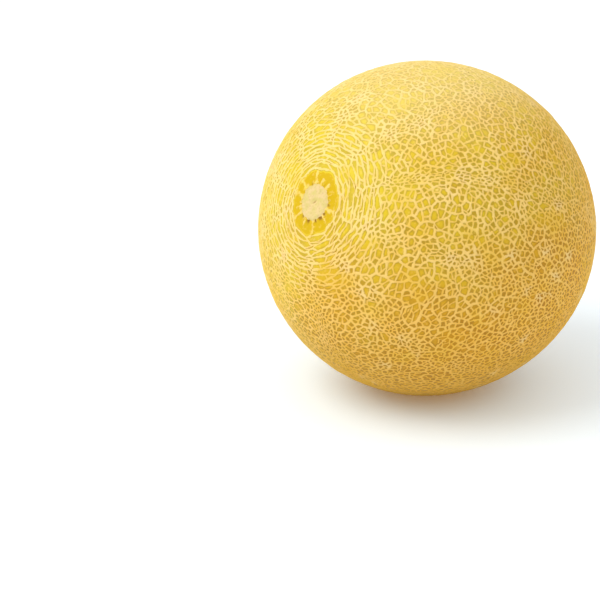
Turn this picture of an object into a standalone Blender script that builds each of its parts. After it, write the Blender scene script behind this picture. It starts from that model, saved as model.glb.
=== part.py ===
"""A whole galia melon, lying on its side: a golden rind under a raised cork net.

The fruit is one closed mesh. Its net is a web of ridges round cells that are scattered over a
slightly long ball. Each ridge stands up from the rind by a formula, larger than on the real fruit.
At one end is the round scar of the stalk, in a bare ring, and at the other the small blossom scar.

Metres, +Z up. The stalk end looks towards -Y and a little upwards, and the origin is on the
surface that the melon lies on, under the middle of the fruit.
"""

import math
from collections import defaultdict

import bpy
import numpy as np
from mathutils.geometry import delaunay_2d_cdt

TAU = 2 * math.pi

# The fruit
EQUATOR_RADIUS = 0.0725
HALF_LENGTH = 0.0744
STALK_LIFT = math.radians(23)  # how far the stalk end looks up from the surface
FLAT_DEPTH = 0.0011  # how much of the underside is worn flat where it rests
STALK_DIP = 0.0009  # the rind sinks in a little at both ends
STALK_DIP_SPAN = 0.24  # in radians from the end
BLOSSOM_DIP = 0.0005
BLOSSOM_DIP_SPAN = 0.20
WAVINESS = 0.00025  # how far the rind wanders from a true oval

# The net
CELL = 0.0107  # from the middle of one cell to the next
CELL_SPREAD = (0.82, 1.25)  # smallest and largest cell, as a share of CELL
RIDGE_HEIGHT = 0.0012
RIDGE_TOP = 0.0008  # half the width of a ridge's top
RIDGE_FOOT = 0.0014  # half its width where it meets the skin
RIDGE_UNEVENNESS = 0.2
LONGEST_EDGE = 0.0085  # a longer edge of a cell is split in two
WANDER = 0.06  # radians that the net drifts round the fruit
THROWS = 26000
SEED = 41

# Round the stalk the cells lie stretched along rings, and ten veins run out from it
STALK_STRETCH = 2.4
STALK_CELL = 0.86  # size of a cell there, as a share of CELL
STRETCH_FADE = 0.62  # radians over which the stretch dies away
VEINS = 10
VEIN_PINCH = 0.3  # how much narrower the cells are on a vein
VEIN_START = 0.3  # radians from the stalk where the pinch begins to ease
VEIN_LENGTH = 1.6

# The two ends
RING_RADIUS = 0.0146  # middle of the ridge round the bare ring
STALK_SCAR_RADIUS = 0.0076
BLOSSOM_RING_RADIUS = 0.0062
BLOSSOM_SCAR_RADIUS = 0.0026
STALK_SPOKES = 44
BLOSSOM_SPOKES = 20
STALK_NEIGHBOURS = 16  # cells that meet the ring round the stalk's patch
BLOSSOM_NEIGHBOURS = 12
TICK_EVERY = 4  # every so many spokes a thin ridge runs out from the scar
TICK_HEIGHT = 0.0005
CENTRE_PIT = 0.0003
# Rings of each patch from the outside in: share of the scar's radius, height, and whether it is cork
STALK_RINGS = (
    (1.35, -0.0001, False),
    (1.06, -0.0006, False),
    (0.95, 0.0001, True),
    (0.62, -0.0003, True),
    (0.16, -0.0004, True),
)
BLOSSOM_RINGS = ((1.3, 0, False), (0.85, 0.0003, True))

SKIN_COLOUR = (0.82, 0.55, 0.03, 1)
NET_COLOUR = (0.93, 0.74, 0.40, 1)


def smooth_step(value):
    value = np.clip(value, 0, 1)
    return value * value * (3 - 2 * value)


def stretch(polar):
    """How many times longer than wide a cell is, at an angle from the stalk."""
    past_ring = polar - RING_RADIUS / HALF_LENGTH
    return 1 + (STALK_STRETCH - 1) * np.exp(-((past_ring / STRETCH_FADE) ** 2))


def cell_width(polar):
    """Size of a cell measured round the stalk's axis."""
    near = (stretch(polar) - 1) / (STALK_STRETCH - 1)
    size = CELL * (1 + (STALK_CELL - 1) * near)
    return size * np.sqrt(stretch(polar))


# The rind is laid out flat as a chart: "turn" is the angle round the stalk's axis and "climb" goes
# from the stalk end to the blossom end, scaled so that every cell is as tall as it is wide.
POLAR = np.linspace(RING_RADIUS / HALF_LENGTH, math.pi - BLOSSOM_RING_RADIUS / HALF_LENGTH, 4000)
REACH = cell_width(POLAR) / (EQUATOR_RADIUS * np.sin(POLAR))
SLOPE = stretch(POLAR) / np.sin(POLAR)
CLIMB = np.concatenate([[0], np.cumsum((SLOPE[1:] + SLOPE[:-1]) / 2 * np.diff(POLAR))])
ROW_STEP = 1 / (REACH * CELL_SPREAD[1])
ROW = np.concatenate([[0], np.cumsum((ROW_STEP[1:] + ROW_STEP[:-1]) / 2 * np.diff(CLIMB))])


def directions(turn, climb):
    """Unit vectors from the middle of the fruit to points of the chart, stalk end at +Z."""
    past = climb - np.clip(climb, 0, CLIMB[-1])
    polar = np.interp(climb, CLIMB, POLAR) + past / np.where(past < 0, SLOPE[0], SLOPE[-1])
    pinch = VEIN_PINCH * (1 - smooth_step((polar - VEIN_START) / VEIN_LENGTH))
    drift = np.sin(1.7 * polar + 3 * turn) + 0.7 * np.sin(3.1 * polar - 2 * turn)
    around = turn - pinch * np.sin(VEINS * turn) / VEINS + WANDER * drift * smooth_step(polar)
    across = np.sin(polar)
    return np.stack([across * np.cos(around), across * np.sin(around), np.cos(polar)], axis=-1)


def rind_radius(way):
    """Distance from the middle of the fruit to the bare rind, along unit vectors."""
    along = way[:, 2]
    across = np.hypot(way[:, 0], way[:, 1])
    oval = 1 / np.hypot(along / HALF_LENGTH, across / EQUATOR_RADIUS)
    polar = np.arctan2(across, along)
    dips = STALK_DIP * np.exp(-((polar / STALK_DIP_SPAN) ** 2))
    dips += BLOSSOM_DIP * np.exp(-(((math.pi - polar) / BLOSSOM_DIP_SPAN) ** 2))
    waves = np.sin(3.1 * way[:, 0] + 1.3) + np.sin(3.7 * way[:, 1] - 2.1 * way[:, 2] + 0.4)
    return oval - dips + WAVINESS * waves


def scattered_seeds():
    """Middles of the cells on the chart, thrown at random and kept where there is room.

    A grid of bins, each at least as wide as the largest cell, finds the seeds near a throw.
    """
    draw = np.random.default_rng(SEED)
    rows = draw.uniform(0, ROW[-1], THROWS)
    turns = draw.uniform(0, TAU, THROWS)
    keep = draw.uniform(0, 1, THROWS)
    sizes = draw.uniform(*CELL_SPREAD, THROWS)
    reaches = np.interp(rows, ROW, REACH)
    climbs = np.interp(rows, ROW, CLIMB)
    chosen = keep * reaches < REACH.min()
    chosen &= (climbs > REACH[0] / 2) & (climbs < CLIMB[-1] - REACH[-1] / 2)
    row_reach = np.interp(np.arange(int(ROW[-1]) + 2) + 0.5, ROW, REACH) * CELL_SPREAD[1]
    columns = np.maximum(3, (TAU / row_reach).astype(int))
    grid = defaultdict(list)
    seeds = []
    throws = zip(rows[chosen], turns[chosen], climbs[chosen], (reaches * sizes)[chosen])
    for row, turn, climb, room in throws:
        near = []
        for beside in (int(row) - 1, int(row), int(row) + 1):
            if 0 <= beside < len(columns):
                count = columns[beside]
                column = int(turn / TAU * count)
                for step in {(column - 1) % count, column % count, (column + 1) % count}:
                    near += grid[beside, step]
        gaps = (math.hypot((turn - t + math.pi) % TAU - math.pi, climb - c) for t, c in near)
        if all(gap > room for gap in gaps):
            count = columns[int(row)]
            grid[int(row), int(turn / TAU * count) % count].append((turn, climb))
            seeds.append((turn, climb))
    return seeds


def edge_row(climb, count):
    """Seeds just past one end of the chart, which stand for the round patch at that end."""
    return [(TAU * (i + 0.5) / count, climb) for i in range(count)]


def net_cells(seeds, ends):
    """The net as corner points on the chart, and the ring of corners of every cell.

    The corners are the middles of the triangles between neighbouring seeds. The seeds in ends
    close the chart and get no cell of their own.
    """
    points = []
    owners = []
    for index, (turn, climb) in enumerate(seeds + ends):
        margin = 4 * np.interp(climb, CLIMB, REACH)
        for shift in (-TAU, 0, TAU):
            if -margin < turn + shift < TAU + margin:
                points.append((turn + shift, climb))
                owners.append((index, shift))
    corners, _, triangles, origins, _, _ = delaunay_2d_cdt(points, [], [], 0, 1e-9)
    places = [(v.x, v.y) for v in corners]
    owner = [owners[found[0]] for found in origins]
    chart = {}
    around = defaultdict(list)
    for triangle in triangles:
        key = tuple(sorted(owner[v][0] for v in triangle))
        middle = np.mean([places[v] for v in triangle], axis=0)
        for v in triangle:
            index, shift = owner[v]
            if shift == 0 and index < len(seeds):
                angle = math.atan2(middle[1] - places[v][1], middle[0] - places[v][0])
                around[index].append((-angle, key))
                chart.setdefault(key, middle)
    rings = [[key for _, key in sorted(around[index])] for index in range(len(seeds))]
    names = {key: i for i, key in enumerate(chart)}
    return np.array(list(chart.values())), [[names[key] for key in ring] for ring in rings]


def with_end_patches(rings):
    """Adds the two round patches at the ends: the loops of edges that only one cell uses."""
    used = {(a, b) for ring in rings for a, b in zip(ring, ring[1:] + ring[:1])}
    following = {b: a for a, b in used if (b, a) not in used}
    loops = []
    while following:
        start = next(iter(following))
        loop = [start]
        step = following.pop(start)
        while step != start:
            loop.append(step)
            step = following.pop(step)
        loops.append(loop)
    return rings + loops


def bent_edges(chart, rings):
    """Splits the long edges of the cells, and those round the end patches, into short ones."""
    chart = list(chart)
    added = {}
    fine = {}
    for ring, spokes, radius in (
        (rings[-2], STALK_SPOKES, RING_RADIUS),
        (rings[-1], BLOSSOM_SPOKES, BLOSSOM_RING_RADIUS),
    ):
        for a, b in zip(ring, ring[1:] + ring[:1]):
            fine[frozenset((a, b))] = TAU * radius / spokes

    def between(a, b):
        key = frozenset((a, b))
        if key not in added:
            low, high = min(key), max(key)
            start = np.array(chart[low])
            step = np.array(chart[high]) - start
            step[0] = (step[0] + math.pi) % TAU - math.pi
            both_ends = directions(*np.stack([start, start + step], axis=1))
            length = np.linalg.norm(both_ends[1] - both_ends[0]) * EQUATOR_RADIUS
            pieces = max(1, round(length / fine.get(key, LONGEST_EDGE)))
            added[key] = []
            for i in range(1, pieces):
                added[key].append(len(chart))
                chart.append(start + step * i / pieces)
        return added[key] if a < b else added[key][::-1]

    bent = []
    for ring in rings:
        longer = []
        for a, b in zip(ring, ring[1:] + ring[:1]):
            longer += [a, *between(a, b)]
        bent.append(longer)
    return np.array(chart), bent


def inner_ring(points, ring, distance):
    """The corners of one cell, moved in from its edges by a distance.

    Where that would turn an edge over, every corner moves straight towards the cell's middle.
    """
    corner = points[ring]
    middle = corner.mean(axis=0)
    outward = middle / np.linalg.norm(middle)
    ahead = np.roll(corner, -1, axis=0) - corner
    ahead /= np.linalg.norm(ahead, axis=1)[:, None]
    inward = np.cross(outward, ahead)
    bisector = inward + np.roll(inward, 1, axis=0)
    bisector /= np.maximum(np.linalg.norm(bisector, axis=1), 1e-9)[:, None]
    lean = np.maximum(np.einsum("ij,ij->i", bisector, inward), 0.55)
    to_middle = middle - corner
    move = np.minimum(distance / lean, 0.5 * np.linalg.norm(to_middle, axis=1))
    moved = corner + bisector * move[:, None]
    turned = np.cross(moved - middle, np.roll(moved, -1, axis=0) - middle) @ outward
    along = np.einsum("ij,ij->i", np.roll(moved, -1, axis=0) - moved, ahead)
    if turned.min() <= 0 or along.min() <= 0:
        share = min(0.42, 1.3 * distance / np.linalg.norm(to_middle, axis=1).mean())
        moved = corner + share * to_middle
    return moved


def unit(vectors):
    return vectors / np.linalg.norm(vectors, axis=-1, keepdims=True)


class Rind:
    """Collects the points of the fruit as directions and heights over the bare rind."""

    def __init__(self):
        self.ways = []
        self.heights = []
        self.faces = []
        self.corky = []

    def add(self, ways, heights):
        first = len(self.heights)
        self.ways += list(ways)
        self.heights += list(np.broadcast_to(heights, len(ways)))
        return list(range(first, len(self.heights)))

    def face(self, corners, cork):
        self.faces.append(corners)
        self.corky.append(cork)

    def band(self, outer, inner, cork):
        for i in range(len(outer)):
            j = (i + 1) % len(outer)
            self.face((outer[i], outer[j], inner[j], inner[i]), cork)


def patch(rind, ring, pole, scar_radius, steps):
    """Fills the round patch at an end of the fruit with rings of points, down to its middle."""
    ways = np.array([rind.ways[i] for i in ring])
    polar = np.arccos(np.clip(ways[:, 2] * pole, -1, 1))
    turn = np.unwrap(np.arctan2(ways[:, 1], ways[:, 0]))
    outer = ring
    for share, height, cork in steps:
        angle = share * scar_radius / HALF_LENGTH
        tilt = np.full(len(ring), angle) if cork else (polar + 2 * angle) / 3
        across = np.sin(tilt)
        spots = np.stack([across * np.cos(turn), across * np.sin(turn), pole * np.cos(tilt)], axis=1)
        raised = np.full(len(ring), height)
        if not cork and pole > 0:
            raised[::TICK_EVERY] += TICK_HEIGHT
        inner = rind.add(spots, raised)
        rind.band(outer, inner, cork)
        outer = inner
    middle = rind.add([(0, 0, pole)], steps[-1][1] - CENTRE_PIT)[0]
    for i, corner in enumerate(outer):
        rind.face((corner, outer[(i + 1) % len(outer)], middle), True)


def ridge_tops(rind, rings, shoulders):
    """Closes the ridges over: a strip along every edge of a cell and a facet where edges meet."""
    beside = {}
    for ring, shoulder in zip(rings, shoulders):
        for i, a in enumerate(ring):
            j = (i + 1) % len(ring)
            beside[a, ring[j]] = (shoulder[i], shoulder[j], ring[(j + 1) % len(ring)])
    met = set()
    for (a, b), (left_a, left_b, _) in beside.items():
        right_b, right_a, _ = beside[b, a]
        if a < b:
            rind.face((left_a, right_a, right_b, left_b), True)
        if b not in met:
            met.add(b)
            facet = []
            start, ahead = a, a
            while not facet or ahead != start:
                _, corner, leaving = beside[ahead, b]
                facet.append(corner)
                ahead = leaving
            if len(facet) > 2:
                rind.face(facet[::-1], True)


def netted_rind():
    """The whole surface: ridges and floors of the cells, and the two end patches."""
    seeds = scattered_seeds()
    ends = edge_row(-REACH[0] / 2, STALK_NEIGHBOURS)
    ends += edge_row(CLIMB[-1] + REACH[-1] / 2, BLOSSOM_NEIGHBOURS)
    chart, rings = net_cells(seeds, ends)
    rings = with_end_patches(rings)
    if chart[rings[-2]][:, 1].mean() > chart[rings[-1]][:, 1].mean():
        rings[-2:] = rings[:-3:-1]
    chart, rings = bent_edges(chart, rings)
    ways = directions(chart[:, 0], chart[:, 1])
    swell = np.sin(9 * ways[:, 0] + 2) * np.sin(8 * ways[:, 1] + 7 * ways[:, 2])
    crest = RIDGE_HEIGHT * (1 + RIDGE_UNEVENNESS * swell)
    rind = Rind()
    base = ways * rind_radius(ways)[:, None]
    patches = []
    shoulders = []
    for number, ring in enumerate(rings):
        shoulder = rind.add(unit(inner_ring(base, ring, RIDGE_TOP)), crest[ring])
        feet = rind.add(unit(inner_ring(base, ring, RIDGE_FOOT)), 0)
        rind.band(shoulder, feet, True)
        shoulders.append(shoulder)
        if number < len(seeds):
            rind.face(feet, False)
        else:
            patches.append(feet)
    ridge_tops(rind, rings, shoulders)
    patch(rind, patches[0], 1, STALK_SCAR_RADIUS, STALK_RINGS)
    patch(rind, patches[1], -1, BLOSSOM_SCAR_RADIUS, BLOSSOM_RINGS)
    return rind, len(seeds)


def laid_down(ways, radii):
    """Points in place: stalk end lifted, centred over the origin and flat where it rests."""
    lift = math.sin(STALK_LIFT)
    level = math.cos(STALK_LIFT)
    turned = np.array([(1, 0, 0), (0, lift, level), (0, -level, lift)])
    points = (ways * radii[:, None]) @ turned
    bare = (ways * rind_radius(ways)[:, None]) @ turned
    low, high = points.min(axis=0), points.max(axis=0)
    points -= ((low[0] + high[0]) / 2, (low[1] + high[1]) / 2, bare[:, 2].min() + FLAT_DEPTH)
    points[:, 2] = np.maximum(points[:, 2], 0)
    return points


def material(name, colour, roughness):
    made = bpy.data.materials.new(name)
    made.use_nodes = True
    shader = made.node_tree.nodes["Principled BSDF"]
    shader.inputs["Base Color"].default_value = colour
    shader.inputs["Roughness"].default_value = roughness
    shader.inputs["Metallic"].default_value = 0
    return made


def make_melon():
    rind, cells = netted_rind()
    ways = np.array(rind.ways)
    radii = rind_radius(ways) + np.array(rind.heights)
    mesh = bpy.data.meshes.new("melon")
    mesh.from_pydata(laid_down(ways, radii).tolist(), [], [tuple(map(int, f)) for f in rind.faces])
    mesh.materials.append(material("golden skin", SKIN_COLOUR, 0.5))
    mesh.materials.append(material("net cork", NET_COLOUR, 0.85))
    mesh.polygons.foreach_set("material_index", np.array(rind.corky, dtype=np.int32))
    mesh.shade_smooth()
    mesh.update()
    melon = bpy.data.objects.new("melon", mesh)
    bpy.context.scene.collection.objects.link(melon)
    mesh.calc_loop_triangles()
    print("cells:", cells, "triangles:", len(mesh.loop_triangles))


for thing in list(bpy.data.objects):
    bpy.data.objects.remove(thing)
make_melon()
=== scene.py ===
# %% [markdown]
# # A whole galia melon
#
# This lesson dresses one fruit: a galia melon, as picked, lying on its side. It grew as one piece,
# so it is one closed mesh here too. What makes it a galia is the skin: a golden rind under a raised
# net of cream cork, the round scar where the stalk came away, and a bare yellow ring round it.
#
# The fruit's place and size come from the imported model, which is loaded first and never moved.

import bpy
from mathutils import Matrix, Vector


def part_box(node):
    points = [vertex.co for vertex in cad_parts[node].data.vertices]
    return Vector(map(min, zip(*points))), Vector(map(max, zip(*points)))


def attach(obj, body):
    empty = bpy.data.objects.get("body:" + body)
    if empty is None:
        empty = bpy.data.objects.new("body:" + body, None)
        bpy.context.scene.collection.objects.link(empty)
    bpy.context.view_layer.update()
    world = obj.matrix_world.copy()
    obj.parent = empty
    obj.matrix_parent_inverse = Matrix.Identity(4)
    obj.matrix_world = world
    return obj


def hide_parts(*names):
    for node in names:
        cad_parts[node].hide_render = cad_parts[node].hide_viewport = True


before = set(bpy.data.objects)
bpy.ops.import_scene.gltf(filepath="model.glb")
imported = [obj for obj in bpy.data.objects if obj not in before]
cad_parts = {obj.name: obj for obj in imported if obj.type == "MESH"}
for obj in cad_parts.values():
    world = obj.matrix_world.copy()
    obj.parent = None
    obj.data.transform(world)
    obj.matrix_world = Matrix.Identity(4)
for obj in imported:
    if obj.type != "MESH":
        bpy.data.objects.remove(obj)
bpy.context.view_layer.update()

# %% Tools for the lesson
import math
from collections import defaultdict

import bpy
import numpy as np
from mathutils import Vector, kdtree
from mathutils.geometry import delaunay_2d_cdt

TAU = 2 * math.pi
MM = 0.001


def new_object(name, data):
    thing = bpy.data.objects.new(name, data)
    bpy.context.scene.collection.objects.link(thing)
    return thing


# %% [markdown]
# ## The camera
#
# The fruit in the picture is seen from a little above, with the stalk end turned away to the left.
# A long lens far away keeps the ball round. The fruit sits right of and above the middle of the
# frame, so the camera looks at a point beside the fruit. That needs no lens shift, and a camera
# that is aimed by two angles is easy to check against the scar's place in the picture.

# %% Camera
PICTURE = 600  # pixels along each side of the picture
PIXEL = 0.435 * MM  # what one pixel covers at the fruit
FRUIT_AT = (426.6, 225.6)  # the fruit's middle in the picture
CAMERA_AZIMUTH = math.radians(46.4)
CAMERA_ELEVATION = math.radians(21.7)
CAMERA_AWAY = 1.15


def toward(azimuth, elevation):
    """Unit vector from the fruit to something seen at these angles."""
    level = math.cos(elevation)
    return Vector((math.sin(azimuth) * level, -math.cos(azimuth) * level, math.sin(elevation)))


low, high = (Vector(corner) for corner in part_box("melon"))
fruit_middle = (low + high) / 2
to_camera = toward(CAMERA_AZIMUTH, CAMERA_ELEVATION)
to_right = Vector((math.cos(CAMERA_AZIMUTH), math.sin(CAMERA_AZIMUTH), 0))
to_top = to_camera.cross(to_right)
aside = PIXEL * (PICTURE / 2 - FRUIT_AT[0])
above = PIXEL * (FRUIT_AT[1] - PICTURE / 2)
looked_at = fruit_middle + aside * to_right + above * to_top
camera = new_object("camera", bpy.data.cameras.new("camera"))
camera.location = looked_at + CAMERA_AWAY * to_camera
camera.rotation_euler = to_camera.to_track_quat("Z", "Y").to_euler()
camera.data.angle = 2 * math.atan(PIXEL * PICTURE / 2 / CAMERA_AWAY)
camera.data.clip_start = 0.05
bpy.context.scene.camera = camera
print("lens:", round(camera.data.lens, 1), "mm")

# %% [markdown]
# ## The bare fruit
#
# Under the net a galia is nearly a ball, a touch longer from the stalk to the blossom end, with a
# shallow dip at both ends. A formula for its radius along any direction is all that is needed: every
# point of the mesh is a direction from the middle of the fruit and a height over the bare skin.

# %% Oval with two dips
STALK_LIFT = math.radians(23)  # the stalk end looks up by this much
COARSE_RIDGE = 1.2 * MM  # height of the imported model's bold net, which stands over the skin
FLAT_DEPTH = 1.1 * MM
STALK_DIP = 0.9 * MM
STALK_DIP_SPAN = 0.24  # radians from the end
BLOSSOM_DIP = 0.5 * MM
BLOSSOM_DIP_SPAN = 0.20
WAVINESS = 0.25 * MM

equator_radius = (high.x - low.x) / 2 - COARSE_RIDGE
half_side = (high.y - low.y) / 2 - COARSE_RIDGE
half_length = math.sqrt(half_side**2 - (equator_radius * math.sin(STALK_LIFT)) ** 2)
half_length /= math.cos(STALK_LIFT)
print("equator", round(equator_radius / MM, 1), "mm, half length", round(half_length / MM, 1), "mm")


def smooth_step(value):
    value = np.clip(value, 0, 1)
    return value * value * (3 - 2 * value)


def unit(vectors):
    return vectors / np.linalg.norm(vectors, axis=-1, keepdims=True)


def dots(one, other):
    """The dot product of every row with the same row of another array."""
    return np.einsum("ij,ij->i", one, other)


def skin_radius(ways):
    """Distance from the fruit's middle to its bare skin, along unit vectors with the stalk at +Z."""
    along = ways[:, 2]
    across = np.hypot(ways[:, 0], ways[:, 1])
    oval = 1 / np.hypot(along / half_length, across / equator_radius)
    polar = np.arctan2(across, along)
    dips = STALK_DIP * np.exp(-((polar / STALK_DIP_SPAN) ** 2))
    dips += BLOSSOM_DIP * np.exp(-(((math.pi - polar) / BLOSSOM_DIP_SPAN) ** 2))
    waves = np.sin(3.1 * ways[:, 0] + 1.3) + np.sin(3.7 * ways[:, 1] - 2.1 * ways[:, 2] + 0.4)
    return oval - dips + WAVINESS * waves


# %% [markdown]
# ## Soft random fields
#
# A living skin is never even: cells are larger here and smaller there, and colours drift. A few sine
# waves in random directions, added up, make a smooth field over the ball that joins up everywhere.

# %% Field of sine waves
def ripple(ways, waves_round, salt):
    """A smooth random field over the ball, about -1 to 1."""
    draw = np.random.default_rng(salt)
    across = unit(draw.normal(size=(7, 3))) * draw.uniform(0.7, 1.4, (7, 1)) * waves_round
    return np.sin(ways @ across.T + draw.uniform(0, TAU, 7)).sum(axis=1) / 3.2


# %% [markdown]
# ## A chart of the skin
#
# The net is laid out on a flat chart and wrapped round the fruit. "Turn" goes round the stalk and
# "climb" from the stalk end to the blossom end. Near the stalk the real cells are long slits that
# follow rings round the scar. So the chart is stretched there: every cell is as tall as it is wide
# on the chart, and comes out as a slit on the fruit. Ten veins run out from the stalk, and the
# wrapping pinches the cells along them. The real rings aren't drawn with a compass: they are a
# little oval and wavy, so ripples move the chart in and out near the stalk.

# %% Stretch and chart
RING_RADIUS = 13.8 * MM  # middle of the first ridge, round the bare ring
RING_OVAL = 0.075  # how far the ring and the scar are from round
BLOSSOM_RING_RADIUS = 4.6 * MM
CELL = 2.02 * MM
CELL_SPREAD = (0.72, 1.35)
STALK_STRETCH = 3.6
STALK_CELL = 1.6  # size of a cell there, as a share of CELL
STRETCH_FADE = 0.22  # radians over which the stretch dies away
STALK_NET = 0.3  # radians from the stalk to where the stretched net starts to fade
STALK_NET_FADE = 0.35
VEINS = 10
VEIN_PHASE = math.radians(-8)
VEIN_BREADTH = 3.2 * MM
VEIN_PINCH = 0.3  # how much narrower the cells are on a vein
VEIN_START = 0.3  # radians from the stalk where the pinch begins to ease
VEIN_LENGTH = 1.7  # radians over which it dies away
WANDER = 0.05  # radians that the net drifts round the fruit
OVAL_SPAN = 0.5  # radians over which the rings turn round again
RIPPLES = ((9, 12, 0.35), (24, 9, 0.26), (37, -14, 0.12))  # waves round, waves along, height in mm


def stretch(polar):
    past_ring = polar - RING_RADIUS / half_length
    return 1 + (STALK_STRETCH - 1) * np.exp(-((past_ring / STRETCH_FADE) ** 2))


def cell_width(polar):
    near = (stretch(polar) - 1) / (STALK_STRETCH - 1)
    return CELL * (1 + (STALK_CELL - 1) * near) * np.sqrt(stretch(polar))


def running_sum(slope, over):
    return np.concatenate([[0], np.cumsum((slope[1:] + slope[:-1]) / 2 * np.diff(over))])


polar_table = np.linspace(RING_RADIUS / half_length, math.pi - BLOSSOM_RING_RADIUS / half_length, 6000)
reach_table = cell_width(polar_table) / (equator_radius * np.sin(polar_table))
slope_table = stretch(polar_table) / np.sin(polar_table)
climb_table = running_sum(slope_table, polar_table)
row_table = running_sum(1 / (reach_table * CELL_SPREAD[1]), climb_table)


def directions(turn, climb):
    """Unit vectors from the fruit's middle to points of the chart."""
    past = climb - np.clip(climb, 0, climb_table[-1])
    polar = np.interp(climb, climb_table, polar_table)
    polar = polar + past / np.where(past < 0, slope_table[0], slope_table[-1])
    pinch = VEIN_PINCH * (1 - smooth_step((polar - VEIN_START) / VEIN_LENGTH))
    drift = np.sin(1.7 * polar + 3 * turn) + 0.7 * np.sin(3.1 * polar - 2 * turn)
    around = turn - pinch * np.sin(VEINS * (turn - VEIN_PHASE)) / VEINS
    around = around + WANDER * drift * smooth_step(polar)
    near = np.exp(-((polar / OVAL_SPAN) ** 2))
    polar = polar * (1 - RING_OVAL * np.cos(2 * turn) * near)
    wavy = near * (0.3 + 0.7 * smooth_step((polar - RING_RADIUS / half_length) / 0.12))
    for round_waves, along_waves, height in RIPPLES:
        wave = np.sin(round_waves * turn + along_waves * polar)
        polar = polar + wavy * height * MM / half_length * wave
    across = np.sin(polar)
    return np.stack([across * np.cos(around), across * np.sin(around), np.cos(polar)], axis=-1)


def near_stalk(ways):
    """1 round the stalk's scar, fading to 0 where the net is no longer stretched."""
    return 1 - smooth_step((np.arccos(ways[..., 2]) - STALK_NET) / STALK_NET_FADE)


def near_vein(turn, polar):
    """1 on a vein, fading to 0 a few millimetres beside it."""
    aside = ((turn - VEIN_PHASE) * VEINS / TAU + 0.5) % 1 - 0.5
    gap = np.abs(aside) * TAU / VEINS * np.sin(polar) * equator_radius
    return np.exp(-((gap / VEIN_BREADTH) ** 2))


print("rows of cells:", round(row_table[-1]))

# %% [markdown]
# ## Cells of the net
#
# The net is the web between cells, so the cells come first. Darts are thrown at the chart and kept
# where there is room, which gives a random but even scatter. The room asked for varies with the soft
# field, so that patches of fine and of open net grow side by side. It is small along the veins, and
# smaller low on the front than on the far side.

# %% Throw the seeds
THROWS = 700000
ROOM = (0.92, 1.1)  # least and most room that a seed asks for, as a share of the cell's width
BROAD_PATCHES = 0.04  # change of size from one large patch of the net to the next
SMALL_PATCHES = 0.045
FINER_SIDE = (0.06, -0.075, 0)  # the net is finer by this share on the lower front side
FINER_VEIN = 0.2
FINER_VEIN_AT_STALK = 0.1


def scattered_seeds():
    draw = np.random.default_rng(7)
    rows = draw.uniform(0, row_table[-1], THROWS)
    turns = draw.uniform(0, TAU, THROWS)
    keep = draw.uniform(0, 1, THROWS)
    sizes = draw.uniform(*ROOM, THROWS)
    reaches = np.interp(rows, row_table, reach_table)
    climbs = np.interp(rows, row_table, climb_table)
    polar = np.interp(climbs, climb_table, polar_table)
    ways = directions(turns, climbs)
    sizes *= 1 + BROAD_PATCHES * ripple(ways, 9, 3) + SMALL_PATCHES * ripple(ways, 26, 4)
    sizes *= 1 - ways @ np.array(FINER_SIDE)
    sizes *= 1 - (FINER_VEIN + FINER_VEIN_AT_STALK * near_stalk(ways)) * near_vein(turns, polar)
    sizes = np.clip(sizes, *CELL_SPREAD)
    chosen = keep * reaches < reach_table.min()
    chosen &= (climbs > reach_table[0] / 2) & (climbs < climb_table[-1] - reach_table[-1] / 2)
    row_reach = np.interp(np.arange(int(row_table[-1]) + 2) + 0.5, row_table, reach_table)
    columns = np.maximum(3, (TAU / (row_reach * CELL_SPREAD[1])).astype(int)).tolist()
    grid = defaultdict(list)
    seeds = []
    kept = (rows[chosen], turns[chosen], climbs[chosen], (reaches * sizes)[chosen])
    for row, turn, climb, room in zip(*(values.tolist() for values in kept)):
        near = []
        for beside in (int(row) - 1, int(row), int(row) + 1):
            if 0 <= beside < len(columns):
                count = columns[beside]
                column = int(turn / TAU * count)
                for step in {(column - 1) % count, column % count, (column + 1) % count}:
                    near += grid[beside, step]
        gaps = (math.hypot((turn - t + math.pi) % TAU - math.pi, climb - c) for t, c in near)
        if all(gap > room for gap in gaps):
            count = columns[int(row)]
            grid[int(row), int(turn / TAU * count) % count].append((turn, climb))
            seeds.append((turn, climb))
    return seeds


seeds = scattered_seeds()
print("cells:", len(seeds))

# %% [markdown]
# ## From seeds to a web
#
# Joining neighbouring seeds gives triangles (Blender has Delaunay triangulation built in). The middle
# of each triangle is a corner of the net, and walking round a seed from triangle to triangle gives
# its cell. Copies of the seeds beyond both sides of the chart make the web close round the fruit. Two
# extra rows of seeds stand for the round patches at the ends.

# %% Corners and rings
STALK_NEIGHBOURS = 13  # cells that meet the bare ring
BLOSSOM_NEIGHBOURS = 12


def edge_row(climb, count):
    return [(TAU * (i + 0.5) / count, climb) for i in range(count)]


def net_cells(seeds, ends):
    """Corner points of the net on the chart, and the ring of corners of every cell."""
    points = []
    owners = []
    for index, (turn, climb) in enumerate(seeds + ends):
        margin = 4 * np.interp(climb, climb_table, reach_table)
        for shift in (-TAU, 0, TAU):
            if -margin < turn + shift < TAU + margin:
                points.append((turn + shift, climb))
                owners.append((index, shift))
    corners, _, triangles, origins, _, _ = delaunay_2d_cdt(points, [], [], 0, 1e-9)
    places = [(v.x, v.y) for v in corners]
    owner = [owners[found[0]] for found in origins]
    chart = {}
    around = defaultdict(list)
    for triangle in triangles:
        key = tuple(sorted(owner[v][0] for v in triangle))
        turn = sum(places[v][0] for v in triangle) / 3
        climb = sum(places[v][1] for v in triangle) / 3
        for v in triangle:
            index, shift = owner[v]
            if shift == 0 and index < len(seeds):
                angle = math.atan2(climb - places[v][1], turn - places[v][0])
                around[index].append((-angle, key))
                chart.setdefault(key, (turn, climb))
    rings = [[key for _, key in sorted(around[index])] for index in range(len(seeds))]
    names = {key: i for i, key in enumerate(chart)}
    return list(chart.values()), [[names[key] for key in ring] for ring in rings]


def edge_of(a, b):
    """One name for an edge, whichever way it is walked."""
    return min(a, b), max(a, b)


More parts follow.
